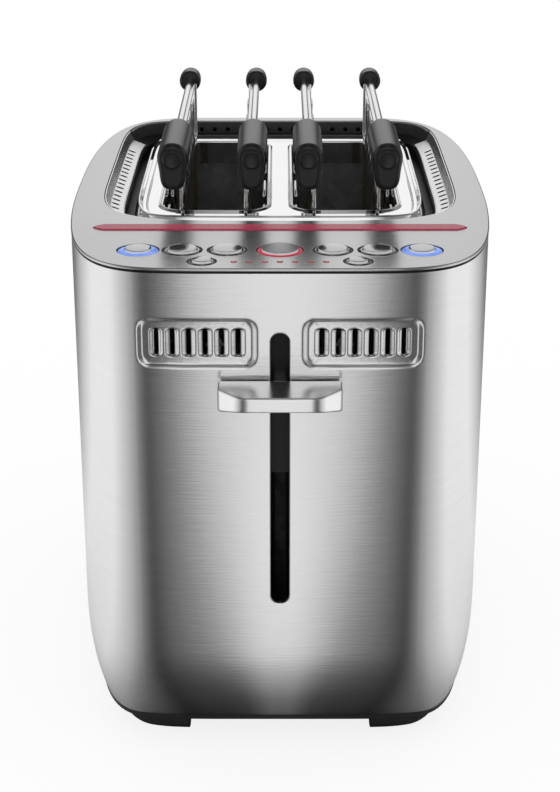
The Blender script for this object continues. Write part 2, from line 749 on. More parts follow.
tree.links.new(blend.outputs[0], tree.nodes["Material Output"].inputs[0])
floor_points = np.array([(-1, -1, 0), (1, -1, 0), (1, 1, 0), (-1, 1, 0)]) * FLOOR_SIZE / 2
floor_mesh = bpy.data.meshes.new("floor")
floor_mesh.from_pydata((floor_points * MM).tolist(), [], [[0, 1, 2, 3]])
floor_mesh.materials.append(floor_finish.material)
floor = bpy.data.objects.new("floor", floor_mesh)
bpy.context.scene.collection.objects.link(floor)
print("floor", FLOOR_SIZE, "mm wide")

# %% [markdown]
# ## Light
# The light is one white room of strength 1, so a colour renders about as it is written. Mirror rays
# see a white wall behind the toaster up to about 40 degrees and a lower one before it, a dark ceiling
# with a brighter patch right above, and a low dark rail on the horizon 12 to 40 degrees off the
# toaster's long axis. The walls are brightest along that axis, dim beside it and brighter at the sides.

# %% Make the room
RAIL_TONE = 0.03
world = bpy.data.worlds.new("studio")
bpy.context.scene.world = world
world.use_nodes = True
room = Finish("studio_room", world.node_tree)
background = world.node_tree.nodes["Background"]
light_path = world.node_tree.nodes.new("ShaderNodeLightPath")
seen_by_mirror = Signal(room, light_path.outputs["Is Glossy Ray"])
ray = room.axes(room.node("ShaderNodeTexCoord", output=0))
ceiling = (0.92, 0.12), (0.98, 0.55), (1.0, 0.60)
behind = room.greys(ray[2], (0.0, 0.97), (0.60, 0.97), (0.78, 0.20), *ceiling)
before = room.greys(ray[2], (0.0, 0.95), (0.50, 0.95), (0.66, 0.22), *ceiling)
walls = room.mixed(room.greys(ray[1] * 0.5 + 0.5, (0.42, 0.0), (0.58, 1.0)), before, behind)
off_axis = ray[0].size().off(ray[1].size())
in_rail = room.greys(off_axis, (0.10, 0.0), (0.15, 1.0), (0.42, 1.0), (0.48, 0.0))
below_top = room.greys(ray[2], (0.06, 1.0), (0.13, 0.0))
rail = room.mixed(1.0, in_rail, below_top, "MULTIPLY")
walls = room.mixed(rail, walls, grey(RAIL_TONE))
narrow = room.greys(off_axis, (0.08, 1.0), (0.20, 0.22), (0.50, 0.28), (0.85, 0.80))
walls = room.mixed(1.0, walls, narrow, "MULTIPLY")
room.feed(background.inputs["Color"], room.mixed(seen_by_mirror, grey(1.0), walls))
background.inputs["Strength"].default_value = 1.0
bpy.context.scene.view_settings.view_transform = "Standard"
print("room ready")

# %% [markdown]
# ## Sheets with holes
# Pressed sheet is a surface over two directions, u along the wall and v up it. A hole with round ends
# is a short upright line with a radius. The block of cells round a hole is swapped for rings that run
# from the hole's edge to the block's border, so the hole is truly round and the grid stays tidy.


# %% A grid with holes and pressed valleys
def thinned(values):
    """Sorted grid lines, without those less than 0.02 mm after another."""
    values = np.sort(values)
    return values[np.concatenate([[True], np.diff(values) > 0.02])]


def lines(*runs):
    """Grid lines: each run is (start, stop, count), in order; shared ends are kept once."""
    return thinned(np.concatenate([np.linspace(*run) for run in runs]))


def cells(middles, half):
    """Five grid lines over the block round each hole."""
    return [middle + half * np.linspace(-1, 1, 5) for middle in middles]


def holed_sheet(surface, us, vs, holes, gone=()):
    """surface(u, v) on the grid us x vs. A hole is (u, v, half line, radii, block u0, u1, v0, v1);
    ring radii run from its edge outwards. gone lists blocks that are simply left open."""
    u, v = np.meshgrid(us, vs, indexing="ij")
    keep = np.ones((len(us) - 1, len(vs) - 1), bool)
    near = lambda values, value: int(np.argmin(np.abs(values - value)))
    row = lambda u, v: np.stack(np.broadcast_arrays(u, v), 1)
    for u0, u1, v0, v1 in gone:
        keep[near(us, u0):near(us, u1), near(vs, v0):near(vs, v1)] = False
    parts = []
    for hole_u, hole_v, half, radii, u0, u1, v0, v1 in holes:
        i0, i1, j0, j1 = near(us, u0), near(us, u1), near(vs, v0), near(vs, v1)
        keep[i0:i1, j0:j1] = False
        border = np.concatenate([row(us[i0:i1], vs[j0]), row(us[i1], vs[j0:j1]),
                                 row(us[i1:i0:-1], vs[j1]), row(us[i0], vs[j1:j0:-1])])
        root = row(hole_u, np.clip(border[:, 1], hole_v - half, hole_v + half))
        rings = root + unit(border - root) * np.asarray(radii)[:, None, None]
        rings = np.concatenate([rings, border[None]])
        parts.append(sheet(surface(rings[..., 0], rings[..., 1]), False, True))
    faces = grid_faces(len(us), len(vs))[keep.reshape(-1)]
    parts.append((surface(u, v).reshape(-1, 3), faces))
    return parts


# %% A wall that follows an outline
class Run:
    """The length along a closed outline, from its first point, with the point and normal there."""

    def __init__(self, outline):
        self.points, self.normals = [np.concatenate([part, part[:1]]) for part in outline]
        self.at = lengths(self.points)
        self.length = self.at[-1]

    def spot(self, u):
        """Point and outward normal at length u, wrapped round the outline."""
        u = np.mod(u, self.length)
        point = [np.interp(u, self.at, self.points[:, i]) for i in (0, 1)]
        normal = [np.interp(u, self.at, self.normals[:, i]) for i in (0, 1)]
        return np.stack(point, -1), unit(np.stack(normal, -1))

    def where(self, x, front=True):
        """The length at which the outline passes x, on its front or rear side."""
        half = len(self.points) // 4
        picked = self.points[:half] if front else self.points[half:2 * half][::-1]
        run = self.at[:half] if front else self.at[half:2 * half][::-1]
        length = float(np.interp(abs(x), picked[:, 0], run))
        return length if x >= 0 else self.length - length

    def wall(self, u, distance, height):
        """Points at a distance outwards from the outline, at a height."""
        point, normal = self.spot(u)
        flat = point + normal * distance[..., None]
        return np.concatenate([flat, height[..., None]], -1)


around = Run(housing(400))
print("length round the housing", round(around.length, 1), "mm")

# %% [markdown]
# ## Housing wall
# The wall is one barrel of steel, 1.4 mm thick, that tucks in over the lowest part of its height.
# The tuck follows a power law of the height and is 12 mm deep at the ends and 5.4 mm at the sides.
# Two vent panels are pressed 1.3 mm into the front. Each of their slots lies in a rounded valley, and
# the ridges between the valleys catch the light.

# %% Press the front wall
TUCK_TOP, TUCK_INSET, TUCK_POWER, SIDE_EASE = 56.0, 12.0, 2.5, 0.55
SHELL_BOTTOM, SHELL_TOP, SHELL_WALL = SHELL_LOW[2], SHELL_HIGH[2] + 0.6, 1.4
VENT_X0, VENT_X1 = 9.1, 59.8
VENT_Z0, VENT_Z1 = 188.4, 211.2
VENT_CORNER, VENT_DEPTH, VENT_SOFT = 6.0, 1.3, 2.7
SLOT_PITCH, SLOT_COUNT = 6.85, 6
HALF_PITCH = SLOT_PITCH / 2
SLOT_RADIUS, SLOT_HALF_LINE = 1.05, 4.65
VALLEY_RADIUS, VALLEY_DEPTH, VALLEY_END = 3.1, 1.15, 1.6
SLOT_Z = (VENT_Z0 + VENT_Z1) / 2
SLOT_X = (VENT_X0 + VENT_X1) / 2 + SLOT_PITCH * (np.arange(SLOT_COUNT) - (SLOT_COUNT - 1) / 2)
BLOCK_Z = SLOT_Z - 9.0, SLOT_Z + 9.0
LEVER_SLOT_HALF, LEVER_Z0, LEVER_Z1 = 4.6, 78.5, 205.0
LEVER_BLOCK_X, LEVER_BLOCK_Z0, LEVER_BLOCK_Z1 = 7.4, 72.0, 212.9
TRAY_HALF, TRAY_Z0, TRAY_Z1 = 53.3, 17.7, 35.3


def soft_step(value):
    value = np.clip(value, 0, 1)
    return value * value * (3 - 2 * value)


def tuck(z):
    """How far the wall has drawn in: 12 mm times the 2.5th power of the share below 56 mm."""
    return TUCK_INSET * np.clip((TUCK_TOP - z) / (TUCK_TOP - SHELL_BOTTOM), 0, None) ** TUCK_POWER


def spared(outline, share=1.0):
    """The outline moved out by a share of what the tuck spares the sides, which is 55% of 12 mm times
    the square of the normal's x."""
    points, normals = outline
    return points + normals * (share * TUCK_INSET * SIDE_EASE * normals[:, :1] ** 2), normals


def shell_surface(u, z):
    """The plan outline moved in by the tuck, the panel's soft-edged recess and the slots' valleys."""
    point, normal = around.spot(u)
    x = np.abs(point[..., 0])
    front = point[..., 1] < MID_Y - HALF_Y * 0.6
    middle_x, middle_z = (VENT_X0 + VENT_X1) / 2, SLOT_Z
    dx = np.abs(x - middle_x) - (VENT_X1 - VENT_X0) / 2 + VENT_CORNER
    dz = np.abs(z - middle_z) - (VENT_Z1 - VENT_Z0) / 2 + VENT_CORNER
    edge = np.hypot(np.clip(dx, 0, None), np.clip(dz, 0, None)) + np.minimum(np.maximum(dx, dz), 0)
    recess = VENT_DEPTH * soft_step((VENT_CORNER - edge) / VENT_SOFT) * front
    nearest = SLOT_X[np.abs(x[..., None] - SLOT_X).argmin(-1)]
    radius = np.hypot(x - nearest, VALLEY_END * np.clip(np.abs(z - SLOT_Z) - SLOT_HALF_LINE, 0, None))
    share = np.clip((radius - SLOT_RADIUS) / (VALLEY_RADIUS - SLOT_RADIUS), 0, 1)
    valley = VALLEY_DEPTH * np.cos(share * np.pi / 2) ** 2 * front
    drawn_in = tuck(z) * (1 - SIDE_EASE * normal[..., 0] ** 2)
    return around.wall(u, -drawn_in - recess - valley, z)


front_x = np.concatenate([
    np.linspace(0, LEVER_BLOCK_X, 5), np.linspace(8.1, SLOT_X[0] - HALF_PITCH, 12),
    *[x + np.array([-HALF_PITCH, -2.6, -1.7, -0.6, 0.6, 1.7, 2.6, HALF_PITCH]) for x in SLOT_X],
    np.linspace(SLOT_X[-1] + HALF_PITCH, 61.0, 13), np.arange(62.5, 90, 1.5),
])
front_u = np.array([around.where(x) for x in front_x])
rear_u = np.array([around.where(x, False) for x in (0, 12, 24, 36, 46, TRAY_HALF, 62, 70, 78, 84, 89)])
side_u = np.linspace(front_u.max() + 2, rear_u.min() - 2, 60)
right_u = np.concatenate([front_u, side_u, rear_u, [around.length / 2]])
shell_u = thinned(np.concatenate([right_u, around.length - right_u, [around.length]]))
PANEL_LOW, RIM = 186.6, SHELL_TOP - 0.5
shell_z = lines(
    (SHELL_BOTTOM, TRAY_Z0, 3), (TRAY_Z0, TRAY_Z1, 10), (TRAY_Z1, TUCK_TOP, 9),
    (TUCK_TOP, LEVER_BLOCK_Z0, 5), (LEVER_BLOCK_Z0, PANEL_LOW, 26), (PANEL_LOW, BLOCK_Z[0], 9),
    (*BLOCK_Z, 19), (BLOCK_Z[1], LEVER_BLOCK_Z1, 9), (LEVER_BLOCK_Z1, RIM, 5), (RIM, SHELL_TOP, 2),
)
print("shell grid", len(shell_u), "by", len(shell_z))

# %% Make the housing wall
radii = SLOT_RADIUS + (VALLEY_RADIUS - SLOT_RADIUS) * np.linspace(0, 1, 7)
shell_holes = []
for side in (1, -1):
    for x in SLOT_X:
        ends = sorted(around.where(side * (x + reach)) for reach in (-HALF_PITCH, HALF_PITCH))
        shell_holes.append((around.where(side * x), SLOT_Z, SLOT_HALF_LINE, radii, *ends, *BLOCK_Z))
# The crumb tray's opening at the rear is left open. The seam of the grid lies on the middle of the
# front, so a block is left open there too, and a patch closes it up to the lever slot's round outline.
block_z = LEVER_BLOCK_Z0, LEVER_BLOCK_Z1
shell_parts = holed_sheet(shell_surface, shell_u, shell_z, shell_holes, gone=[
    (around.where(TRAY_HALF, False), around.where(-TRAY_HALF, False), TRAY_Z0, TRAY_Z1),
    (0, around.where(LEVER_BLOCK_X), *block_z), (around.where(-LEVER_BLOCK_X), around.length, *block_z),
])
patch_u = shell_u[shell_u <= around.where(LEVER_BLOCK_X) + 0.01]
patch_u = np.concatenate([-patch_u[:0:-1], patch_u])
patch_z = shell_z[(shell_z > LEVER_BLOCK_Z0 - 0.1) & (shell_z < LEVER_BLOCK_Z1 + 0.1)]
lever_hole = (0.0, (LEVER_Z0 + LEVER_Z1) / 2, (LEVER_Z1 - LEVER_Z0) / 2 - LEVER_SLOT_HALF,
              [LEVER_SLOT_HALF, LEVER_SLOT_HALF + 1], patch_u[0], patch_u[-1], patch_z[0], patch_z[-1])
patch = holed_sheet(shell_surface, patch_u, patch_z, [lever_hole])
shell_parts += [part for part in patch if len(part[1])]
piece("housing_wall", shell_parts, steel_wall, "root", ["body_shell"], crisp=50,
      wall=SHELL_WALL, facing="out")

# %% [markdown]
# ## Deck plate
# A flat plate with a rolled outer edge, which reaches over the front as a small lip. Every opening in
# it is punched from above, which leaves a tiny rolled rim. Black seals close the seam below the edge
# and the gap round each ring, so both show as dark lines.


# %% Deck openings
def smooth_loop(points):
    """A closed loop with outward normals worked out from its own neighbours."""
    points = np.asarray(points, float)
    along = np.roll(points, -1, 0) - np.roll(points, 1, 0)
    return points, unit(np.stack([along[:, 1], -along[:, 0]], 1))


def bar_outline(steps=10):
    """The light bar: parallel edges, and ends of two quadratic curves that meet in a soft point."""
    low, high = box_mm("light_bar")
    half, rise = high[0], (high[1] - low[1]) / 2
    shoulder = half - rise
    right = np.concatenate([curve((shoulder, -rise), (half, -rise / 2), (half, 0), steps),
                            curve((half, 0), (half, rise / 2), (shoulder, rise), steps)[1:]])
    top = np.stack([np.linspace(shoulder, -shoulder, 12)[1:-1], np.full(10, rise)], 1)
    return smooth_loop(np.concatenate([right, top, -right, -top]) + (0, (high[1] + low[1]) / 2))


bar = bar_outline()
ROW_Y, SMALL_Y, LED_Y = -103.4, -119.2, -120.0
# Each kind of ring: its diameter, and its wall as a share of its radius.
RING_KINDS = {"lit": (17.1, 0.30), "plain": (16.1, 0.20), "start": (19.2, 0.16), "small": (11.5, 0.25)}
# Each ring: x, y and kind.
RINGS = {
    "outer_left": (-59.4, ROW_Y, "lit"), "mid_left": (-40.9, ROW_Y, "plain"),
    "inner_left": (-22.1, ROW_Y, "plain"), "start": (0, ROW_Y, "start"),
    "inner_right": (22.1, ROW_Y, "plain"), "mid_right": (40.9, ROW_Y, "plain"),
    "outer_right": (59.4, ROW_Y, "lit"),
    "small_left": (-32.1, SMALL_Y, "small"), "small_right": (32.1, SMALL_Y, "small"),
}


def ring_radius(kind):
    return RING_KINDS[kind][0] / 2


def bore_radius(kind):
    return ring_radius(kind) * (1 - RING_KINDS[kind][1])


LIT_RINGS = {"outer_left": ring_blue, "outer_right": ring_blue, "start": ring_red}
LED_X = np.linspace(-18.9, 18.9, 7)
LED_DIAMETER = 2.1
BUTTON_GAP = 0.5
openings = [circle(x, y, ring_radius(kind) + BUTTON_GAP) for x, y, kind in RINGS.values()]
openings += [circle(x, LED_Y, LED_DIAMETER / 2 + FIT, 16) for x in LED_X]
openings.append((grown(bar, FIT), bar[1]))
print("deck openings", len(openings) + 1)

# %% Make the deck
EDGE_ROLL, RIM_ROLL, WELL_ROLL, FRONT_LIP, UNDER_MARGIN = 0.6, 0.15, 0.4, 2.4, 3.0
DECK_THICKNESS = 1.2
deck_under = DECK - DECK_THICKNESS
LIP_FROM, LIP_OVER = 0.4 * HALF_Y, 0.35 * HALF_Y
lip_share = soft_step((MID_Y - LIP_FROM - plan[0][:, 1]) / LIP_OVER)
deck_plan = plan[0] - np.stack([0 * lip_share, FRONT_LIP * lip_share], 1), plan[1]
edge_profile = np.concatenate([
    [(-UNDER_MARGIN, deck_under), (-0.2, deck_under), (-0.05, deck_under + 0.05), (0, deck_under + 0.2)],
    arc((-EDGE_ROLL, DECK - EDGE_ROLL), EDGE_ROLL, 0, 90, 8),
])


def rim_profile(roll):
    """From the flat top over a small rolled edge and down the punched side."""
    top = arc((roll, DECK - roll), roll, 90, 180, 4)
    return np.concatenate([top, [(0, deck_under), (roll, deck_under)]])


rolls = [(opening, RIM_ROLL) for opening in openings] + [(well, WELL_ROLL)]
rims = [grown(opening, roll) for opening, roll in rolls]
deck_parts = [
    sweep(deck_plan, edge_profile), *[sweep(opening, rim_profile(roll)) for opening, roll in rolls],
    cap([grown(deck_plan, -EDGE_ROLL), *rims], DECK),
    cap([grown(deck_plan, -UNDER_MARGIN), *rims], deck_under),
]
piece("deck_plate", deck_parts, steel_deck, "root", ["top_deck"], crisp=40)

# %% Make the seals
SEAL_OUTER, SEAL_INNER, high, low = -1.5, -3.3, deck_under + 0.2, DECK_LOW[2]
section = [(SEAL_OUTER, high), (SEAL_OUTER, low), (SEAL_INNER, low), (SEAL_INNER, high)]
seals = [sweep(plan, section, close_profile=True)]
for x, y, kind in RINGS.values():
    inner, outer = ring_radius(kind) + 0.02, ring_radius(kind) + BUTTON_GAP + 0.1
    low, high = deck_under - 0.4, DECK - 0.5
    section = [(inner, low), (outer, low), (outer, high), (inner, high), (inner, low)]
    seals.append(turned(section, (x, y, 0), steps=48))
piece("deck_seals", seals, channel_paint, "root")

# %% [markdown]
# ## Well and slot insert
# The well's wall drops steeply, then a wide shelf slopes down to a dark channel. A row of small
# openings runs along the shelf on both sides, and a black strip with round holes closes the rear. The
# polished insert rises from the channel as a bead, falls in a step to its flat plateau, and rolls down
# into the two slots. Towards the rear the bead dies away and sinks.


# %% Make the well wall
def below_deck(*pairs):
    """A profile from pairs of distance outwards and depth below the deck's top."""
    return np.array([(distance, DECK - depth) for distance, depth in pairs])


def carried_down(profile):
    """The length down a profile at each of its points, and the surface that the well's outline makes
    when it's carried down: u is the length round the outline, v the length down the profile."""
    down = lengths(profile)
    return down, lambda u, v: well_run.wall(u, *[np.interp(v, down, profile[:, i]) for i in (0, 1)])


well_run = Run(well_outline(300))
wall_length, well_surface = carried_down(below_deck(
    (-0.3, 0.3), (-0.7, 0.3), (-1.0, 0.6), (-1.6, 2.5), (-2.4, 4.6), (-2.7, 4.9), (-7.6, 6.7),
    (-8.0, 6.85), (-8.6, 7.0), (-8.9, 7.3), (-9.0, 10.0),
))
STRIP_Y = strip_low[1]
HOLE_Y = np.linspace(-32.8, 91.3, 18)
quarter = len(well_run.points) // 4
side_y = well_run.points[:2 * quarter, 1]
length_at_y = lambda y: float(np.interp(y, side_y, well_run.at[:2 * quarter]))
hole_u = np.array([length_at_y(y) for y in HOLE_Y])
end_u = length_at_y(STRIP_Y - 0.3)
HOLE_HALF, HOLE_HALF_LINE, HOLE_CELL, HOLE_DOWN = 1.25, 0.75, 2.4, 2.15
right_u = np.concatenate([
    np.linspace(0, hole_u[0] - HOLE_CELL, 34, endpoint=False), *cells(hole_u, HOLE_CELL),
    np.linspace(hole_u[-1] + HOLE_CELL, end_u, 10),
])
right_u = np.unique(np.round(right_u, 4))
well_u = np.concatenate([-right_u[:0:-1], right_u])
shelf = wall_length[5:7]
well_v = np.unique(np.concatenate([wall_length, np.linspace(*shelf, 5)]))
side_holes = [
    (u, shelf[0] + HOLE_DOWN, HOLE_HALF_LINE, [HOLE_HALF], u - HOLE_CELL, u + HOLE_CELL, *shelf)
    for right in hole_u for u in (right, -right)
]
channel = below_deck((-1.0, 5.6), (-3.2, 6.9), (-8.4, 9.0), (-8.8, 15.0), (-14.5, 15.0))
piece("well_channel", [sweep(well, channel)], channel_paint, "root", wall=0.4,
      facing="up")
piece("well_wall", holed_sheet(well_surface, well_u, well_v, side_holes), steel_well, "root",
      ["well_surround"], crisp=40, wall=0.8, facing="up")

# %% Make the rear vent strip
WELL_FLOOR = DECK - 224.5
strip_length, strip_surface = carried_down(below_deck(
    (-0.35, 0.3), (-1.9, 0.3), (-2.2, 0.6), (-2.2, 2.2), (-2.2, 6.3), (-2.2, WELL_FLOOR - 0.4),
    (-2.6, WELL_FLOOR), (-7.0, WELL_FLOOR),
))
ROUND_PITCH, ROUND_RADIUS, ROUND_CELL = 7.1, 1.2, 2.0
strip_hole_u = well_run.length / 2 - ROUND_PITCH * np.arange(-8, 9)
strip_start = length_at_y(STRIP_Y)
strip_u = np.unique(np.round(np.concatenate([
    np.linspace(strip_start, strip_hole_u.min() - ROUND_CELL, 16), *cells(strip_hole_u, ROUND_CELL),
    np.linspace(strip_hole_u.max() + ROUND_CELL, well_run.length - strip_start, 16),
]), 4))
span = strip_length[3:5]
strip_v = np.unique(np.concatenate([strip_length, np.linspace(*span, 5)]))
strip_holes = [
    (u, sum(span) / 2, 0.0, [ROUND_RADIUS], u - ROUND_CELL, u + ROUND_CELL, *span) for u in strip_hole_u
]
piece("rear_vents", holed_sheet(strip_surface, strip_u, strip_v, strip_holes), strip_plastic, "root",
      ["rear_vent_strip"], crisp=40, wall=0.8, facing="up")

# %% Make the slot insert
CAGE_X = 30.2
SLOT_HALF_X, SLOT_Y0, SLOT_Y1, SLOT_CORNER = 23.9, -26.75, 107.65, 11.0
PLATEAU, BEAD_CROWN, COLLAR_BOTTOM = 228.0, 230.9, 217.0
SEAT_HALF_X, SEAT_REACH, SEAT_POWER = 81.0, 2.5, 5.8
CROWN_RADIUS, BEAD_END, LIP_REACH, LIP_RADIUS = 0.6, -19.4, 2.6, 0.8
FADE_FROM, FADE_TO, FADE_DEPTH = 80.0, 118.0, 1.4
slots = [
    rounded_rectangle(middle - SLOT_HALF_X, SLOT_Y0, middle + SLOT_HALF_X, SLOT_Y1, SLOT_CORNER, 12, 14)
    for middle in (-CAGE_X, CAGE_X)
]
seat = superellipse(
    SEAT_HALF_X, WELL_HALF_Y + SEAT_REACH, SEAT_POWER, SEAT_POWER, WELL_MID_Y + SEAT_REACH, 36
)
flank = [(-12.6, DECK - 12.0), (-12.8, DECK - 8.5), (-13.6, DECK - 5.6), (-14.8, BEAD_CROWN - 0.9)]
crown = arc((-15.2, BEAD_CROWN - CROWN_RADIUS), CROWN_RADIUS, 20, 140, 7)
step_down = [(-16.5, BEAD_CROWN - 1.75), (-16.8, BEAD_CROWN - 1.95), (-18.1, BEAD_CROWN - 2.15),
             (-18.4, BEAD_CROWN - 2.3), (-18.8, PLATEAU + 0.12), (BEAD_END, PLATEAU)]
lip_profile = np.concatenate([
    [(LIP_REACH, PLATEAU), (2.3, PLATEAU + 0.06), (1.9, PLATEAU + 0.35), (1.4, PLATEAU + 0.7)],
    arc((LIP_RADIUS, PLATEAU + 0.1), LIP_RADIUS, 80, 180, 6), [(0, COLLAR_BOTTOM)],
])
bead_points, bead_faces = sweep(seat, np.concatenate([flank, crown, step_down]))
faded = soft_step((bead_points[:, 1] - FADE_FROM) / (FADE_TO - FADE_FROM))
bead_points[:, 2] -= np.clip(bead_points[:, 2] - PLATEAU, 0, None) * faded * FADE_DEPTH
insert_parts = [
    (bead_points, bead_faces), *[sweep(slot, lip_profile) for slot in slots],
    cap([grown(seat, BEAD_END), *[grown(slot, LIP_REACH) for slot in slots]], PLATEAU),
]
piece("slot_tray", insert_parts, polished, "root", ["slot_insert"], crisp=50, wall=0.9,
      facing="up")

# %% [markdown]
# ## Control panel
# The light bar is tinted plastic with rounded edges. Each button is a satin cap inside a ring, with a
# nearly flat top and a side that stands above the ring. The two outer rings and the middle one are
# lit, the others belong to one clear housing below the deck. Seven small lamps stand in a row.

# %% Make the light bar, rings and caps
BAR_LOW, BAR_HIGH, BAR_ROLL = 228.0, 233.5, 0.7
RING_TOP, RING_EDGE, RING_BOTTOM, RING_ROLL, RING_LIP = DECK + 0.15, DECK - 0.3, 222.3, 0.3, 0.15
CAP_EDGE, CAP_TOP, CAP_BOTTOM, CAP_ROLL, CAP_CHAMFER = DECK + 1.05, DECK + 1.3, 226.0, 0.3, 0.2
piece("light_bar_lens", slab(bar, BAR_LOW, BAR_HIGH, BAR_ROLL, 5), crimson, "root", ["light_bar"])


def ring_parts(x, y, kind, bottom):
    """A ring whose top falls outwards to a small rounded edge, turned about its own middle."""
    outer, inner = ring_radius(kind), bore_radius(kind)
    roll = arc((outer - RING_ROLL, RING_EDGE - RING_ROLL), RING_ROLL, 0, 70, 4)
    share = np.linspace(0, 1, 7)[1:]
    slope_r = roll[-1, 0] + (inner + RING_LIP - roll[-1, 0]) * share
    slope_z = RING_EDGE + (RING_TOP - RING_EDGE) * np.sin(share * np.pi / 2)
    loop = np.concatenate([[(inner, bottom), (outer, bottom)], roll, np.stack([slope_r, slope_z], 1),
                           [(inner, RING_TOP - RING_LIP), (inner, bottom)]])
    return turned(loop, (x, y, 0), steps=64)


def cap_parts(x, y, kind):
    """A drum with a rolled edge and a nearly flat top, domed by 0.26 mm."""
    radius = bore_radius(kind) - FIT
    roll = arc((radius - CAP_ROLL, CAP_EDGE - CAP_ROLL), CAP_ROLL, 0, 75, 5)
    share = np.linspace(0, 1, 8)[1:]
    start = roll[-1]
    dome = np.stack([start[0] * (1 - share), start[1] + (CAP_TOP - start[1]) * (1 - (1 - share) ** 2)], 1)
    skirt = [(0, CAP_BOTTOM), (radius - CAP_CHAMFER, CAP_BOTTOM), (radius, CAP_BOTTOM + CAP_CHAMFER)]
    return turned(np.concatenate([skirt, roll, dome]), (x, y, 0), steps=64)


for name, (x, y, kind) in RINGS.items():
    material = cap_dark if name == "start" else cap_silver
    piece(f"cap_{name}", [cap_parts(x, y, kind)], material, f"button_{name}", [f"button_{name}"])
    if name in LIT_RINGS:
        slot_name = "lit_red" if name == "start" else "lit_blue"
        piece(f"ring_{name}", [ring_parts(x, y, kind, RING_BOTTOM)], LIT_RINGS[name], "root",
              [f"light_ring_{name}"])

# %% Make the clear housing and the lamps
HOUSING_REAR, HOUSING_MARGIN = -91.55, 3.6
HOUSING_LOW, HOUSING_TOP, HOUSING_RING_BOTTOM = 219.6, 222.0, 221.0
LAMP_BAR_X, LAMP_BAR_Y, LAMP_BAR_LOW, LAMP_BAR_TOP, LAMP_TOP = 22.0, 2.1, 222.3, 223.8, 233.2
housing_plan = grown(plan, -HOUSING_MARGIN)
housing_loop = housing_plan[housing_plan[:, 1] < HOUSING_REAR]
turn = int(np.argmax(np.linalg.norm(np.diff(housing_loop, axis=0), axis=1))) + 1
housing_outline = smooth_loop(np.roll(housing_loop, -turn, axis=0))
plain_rings = [ring for name, ring in RINGS.items() if name not in LIT_RINGS]
housing_parts = [slab(housing_outline, HOUSING_LOW, HOUSING_TOP, 0.3, 2)]
housing_parts += [ring_parts(*ring, HOUSING_RING_BOTTOM) for ring in plain_rings]
piece("button_tray", housing_parts, ring_clear, "root", ["button_housing"])

lamp_bar = rounded_rectangle(-LAMP_BAR_X, LED_Y - LAMP_BAR_Y, LAMP_BAR_X, LED_Y + LAMP_BAR_Y, 1.0, 4, 2)
lamp_radius, lamp_foot, lamp_roll = LED_DIAMETER / 2, LAMP_BAR_TOP - 0.8, 0.3
lamp_profile = np.concatenate([
    [(0, lamp_foot), (lamp_radius, lamp_foot)],
    arc((lamp_radius - lamp_roll, LAMP_TOP - lamp_roll), lamp_roll, 0, 90, 3), [(0, LAMP_TOP)],
])
lamp_parts = slab(lamp_bar, LAMP_BAR_LOW, LAMP_BAR_TOP, 0.2, 2)
lamp_parts += [turned(lamp_profile, (x, LED_Y, 0), steps=16) for x in LED_X]
piece("level_lamps", lamp_parts, led_red, "root", ["level_lights"])

# %% [markdown]
# ## Lever
# The lever is a thick plate with the plan of a shallow boat: wide at the housing, with slanted ends
# that meet a narrower nose. Its underside falls towards the back, where it's 2.1 times as deep. Its
# stem passes through a slot that is lined by a thin trim, flush with the wall.


# %% Make the lever and the slot's trim
def stood_up(part):
    """Turns a part made in plan so that its second direction is height and its third is depth."""
    return part[0][:, [0, 2, 1]], part[1]


LEVER_LOW, LEVER_TOP, LEVER_BACK, LEVER_NOSE, LEVER_ROLL = 178.2, 184.5, -129.25, -149.75, 0.9
BACK_HALF, NOSE_HALF, CORNER, SLANT_DEPTH, BACK_CHAMFER = 25.75, 17.0, 4.2, 10.3, 0.8
STEM_HALF, STEM_END, STEM_ROLL = 2.6, -116.15, 0.4
LEVER_BACK_GROWTH = 1.1
inner_back = BACK_HALF - BACK_CHAMFER
nose_end, slant_end = np.array([(NOSE_HALF, LEVER_NOSE), (BACK_HALF, LEVER_NOSE + SLANT_DEPTH)])
slant = unit(slant_end - nose_end)
right_half = np.concatenate([
    np.stack([np.linspace(0, NOSE_HALF - CORNER, 8)[1:-1], np.full(6, LEVER_NOSE)], 1),
    curve(nose_end - (CORNER, 0), nose_end, nose_end + slant * CORNER, 8),
    curve(slant_end - slant * CORNER / 2, slant_end, slant_end + (0, CORNER / 2), 8),
    [(BACK_HALF, LEVER_BACK - 3.0), (BACK_HALF, LEVER_BACK - BACK_CHAMFER), (inner_back, LEVER_BACK)],
    np.stack([np.linspace(inner_back, 0, 10)[1:-1], np.full(8, LEVER_BACK)], 1),
])
left_half = right_half[::-1] * (-1, 1)
lever_outline = smooth_loop(np.concatenate([right_half, [(0, LEVER_BACK)], left_half, [(0, LEVER_NOSE)]]))


def deepened(part):
    """Scales the depth below the top by 1 + growth * share, share running from the nose to the back."""
    points = part[0].copy()
    share = (points[:, 1] - LEVER_NOSE) / (LEVER_BACK - LEVER_NOSE)
    points[:, 2] = LEVER_TOP - (LEVER_TOP - points[:, 2]) * (1 + LEVER_BACK_GROWTH * share)
    return points, part[1]


lever_parts = [deepened(part) for part in slab(lever_outline, LEVER_LOW, LEVER_TOP, LEVER_ROLL, 5)]
stem = rounded_rectangle(-STEM_HALF, LEVER_BACK - 0.6, STEM_HALF, STEM_END, STEM_ROLL, 3, 2)
lever_parts += slab(stem, LEVER_LOW, LEVER_TOP, STEM_ROLL, 2)
piece("lever_plate", lever_parts, steel_lever, "lever", ["lever_paddle"], crisp=40)

